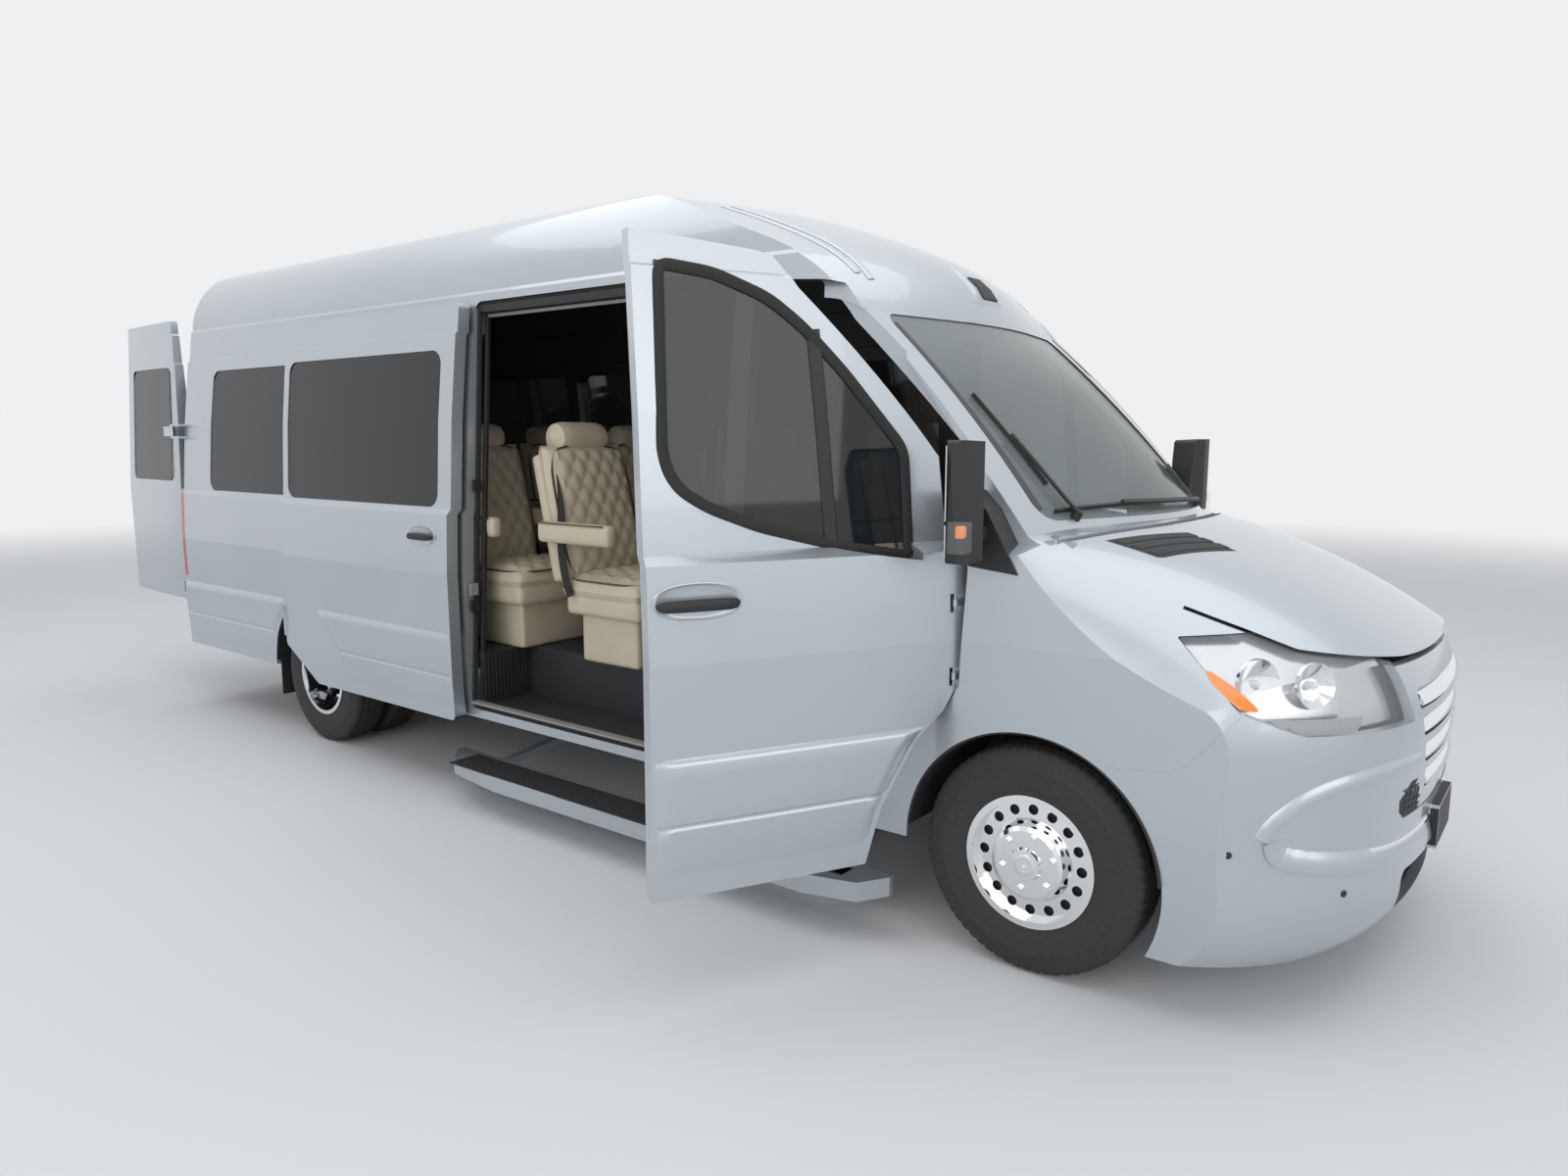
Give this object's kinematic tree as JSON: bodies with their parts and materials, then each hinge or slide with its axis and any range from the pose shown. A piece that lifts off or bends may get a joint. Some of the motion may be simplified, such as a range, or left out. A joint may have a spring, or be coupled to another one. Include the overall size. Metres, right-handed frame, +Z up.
{
  "type": "high-roof passenger van",
  "caption": "High-roof long-wheelbase passenger van with hinged front and rear doors, a sliding side door, a lifting hood and steered front wheels.",
  "frame": {"origin": "on the ground, under the middle of the bounding box with the doors as stored", "axes": "+X towards the front of the van, +Y to its left, +Z up"},
  "size_m": [7.9751, 3.1166, 2.818],
  "materials": {
    "body_paint": "light silver metallic paint",
    "black_plastic": "black textured plastic",
    "clear_lamp": "clear lamp lens",
    "red_lamp": "red lamp lens",
    "tinted_glass": "dark tinted glass",
    "clear_glass": "clear glass with a grey top band",
    "chassis_black": "black chassis paint",
    "engine_grey": "grey cast metal",
    "bare_steel": "bare steel",
    "tyre_rubber": "black rubber",
    "wheel_chrome": "polished wheel cover",
    "cream_leather": "cream quilted leather",
    "dark_floor": "dark floor covering",
    "board_silver": "silver running board"
  },
  "bodies": {
    "body": {"arch_liners": "black_plastic", "cab_frame": "body_paint", "captain_seats": "cream_leather", "chassis_frame": "chassis_black", "dashboard": "black_plastic", "engine_block": "engine_grey", "exhaust": "bare_steel", "fenders": "body_paint", "floor_pan": "dark_floor", "front_axle": "chassis_black", "front_bumper": "body_paint", "front_seats": "cream_leather", "fuel_tank": "chassis_black", "grille": "body_paint", "headlamps": "clear_lamp", "leaf_springs": "chassis_black", "mirrors": "black_plastic", "propshaft": "bare_steel", "rear_axle": "chassis_black", "rear_bumper": "black_plastic", "roof_panel": "body_paint", "running_boards": "board_silver", "side_glass": "tinted_glass", "side_wall_left": "body_paint", "side_wall_right": "body_paint", "sliding_door": "body_paint", "step_wells": "dark_floor", "tail_lamps": "red_lamp", "windshield": "clear_glass"},
    "front_door_right": {"front_door_right": "body_paint", "front_door_right_glass": "tinted_glass"},
    "front_door_left": {"front_door_left": "body_paint", "front_door_left_glass": "tinted_glass"},
    "rear_door_right": {"rear_door_right": "body_paint", "rear_door_right_glass": "tinted_glass"},
    "rear_door_left": {"rear_door_left": "body_paint", "rear_door_left_glass": "tinted_glass"},
    "hood": {"hood": "body_paint"},
    "knuckle_right": {"knuckle_right": "bare_steel"},
    "knuckle_left": {"knuckle_left": "bare_steel"},
    "front_wheel_right": {"front_tyre_right": "tyre_rubber", "front_rim_right": "wheel_chrome"},
    "front_wheel_left": {"front_tyre_left": "tyre_rubber", "front_rim_left": "wheel_chrome"},
    "rear_wheels_right": {"rear_tyres_right": "tyre_rubber", "rear_rims_right": "wheel_chrome"},
    "rear_wheels_left": {"rear_tyres_left": "tyre_rubber", "rear_rims_left": "wheel_chrome"},
    "steering_wheel": {"steering_wheel": "black_plastic"}
  },
  "joints": [
    {"name": "front_door_right_hinge", "type": "hinge", "parent": "body", "child": "front_door_right", "pos_m": [2.7013, -0.64546, 1.08], "axis": [0, 0, 1], "range_deg": [-62.5, 6]},
    {"name": "front_door_left_hinge", "type": "hinge", "parent": "body", "child": "front_door_left", "pos_m": [2.7013, 1.33054, 1.08], "axis": [0, 0, -1], "range_deg": [0, 68.5]},
    {"name": "rear_door_right_hinge", "type": "hinge", "parent": "body", "child": "rear_door_right", "pos_m": [-3.0087, -0.64246, 1.262], "axis": [0, 0, 1], "range_deg": [-86, 94]},
    {"name": "rear_door_left_hinge", "type": "hinge", "parent": "body", "child": "rear_door_left", "pos_m": [-3.0087, 1.32754, 1.262], "axis": [0, 0, -1], "range_deg": [0, 180]},
    {"name": "hood_hinge", "type": "hinge", "parent": "body", "child": "hood", "pos_m": [2.9583, 0.34254, 1.403], "axis": [0, -1, 0], "range_deg": [0, 55]},
    {"name": "steer_left", "type": "hinge", "parent": "body", "child": "knuckle_left", "pos_m": [2.9633, 1.13254, 0.38], "axis": [0, 0, 1], "range_deg": [-35, 35]},
    {"name": "steer_right", "type": "hinge", "parent": "body", "child": "knuckle_right", "pos_m": [2.9633, -0.44746, 0.38], "axis": [0, 0, 1], "range_deg": [-35, 35]},
    {"name": "steering_wheel_turn", "type": "hinge", "parent": "body", "child": "steering_wheel", "pos_m": [2.3233, 0.82254, 1.2], "axis": [-0.8192, 0, 0.5736], "range_deg": [-500, 500]},
    {"name": "front_wheel_right_spin", "type": "hinge", "parent": "knuckle_right", "child": "front_wheel_right", "pos_m": [2.9633, -0.51246, 0.38], "axis": [0, 1, 0], "continuous": true},
    {"name": "front_wheel_left_spin", "type": "hinge", "parent": "knuckle_left", "child": "front_wheel_left", "pos_m": [2.9633, 1.19754, 0.38], "axis": [0, 1, 0], "continuous": true},
    {"name": "rear_wheels_right_spin", "type": "hinge", "parent": "body", "child": "rear_wheels_right", "pos_m": [-1.3617, -0.40796, 0.38], "axis": [0, 1, 0], "continuous": true},
    {"name": "rear_wheels_left_spin", "type": "hinge", "parent": "body", "child": "rear_wheels_left", "pos_m": [-1.3617, 1.09304, 0.38], "axis": [0, 1, 0], "continuous": true}
  ],
  "couplings": [
    {"joint": "steer_right", "follows": "steer_left", "ratio": 1},
    {"joint": "steering_wheel_turn", "follows": "steer_left", "ratio": 14}
  ]
}
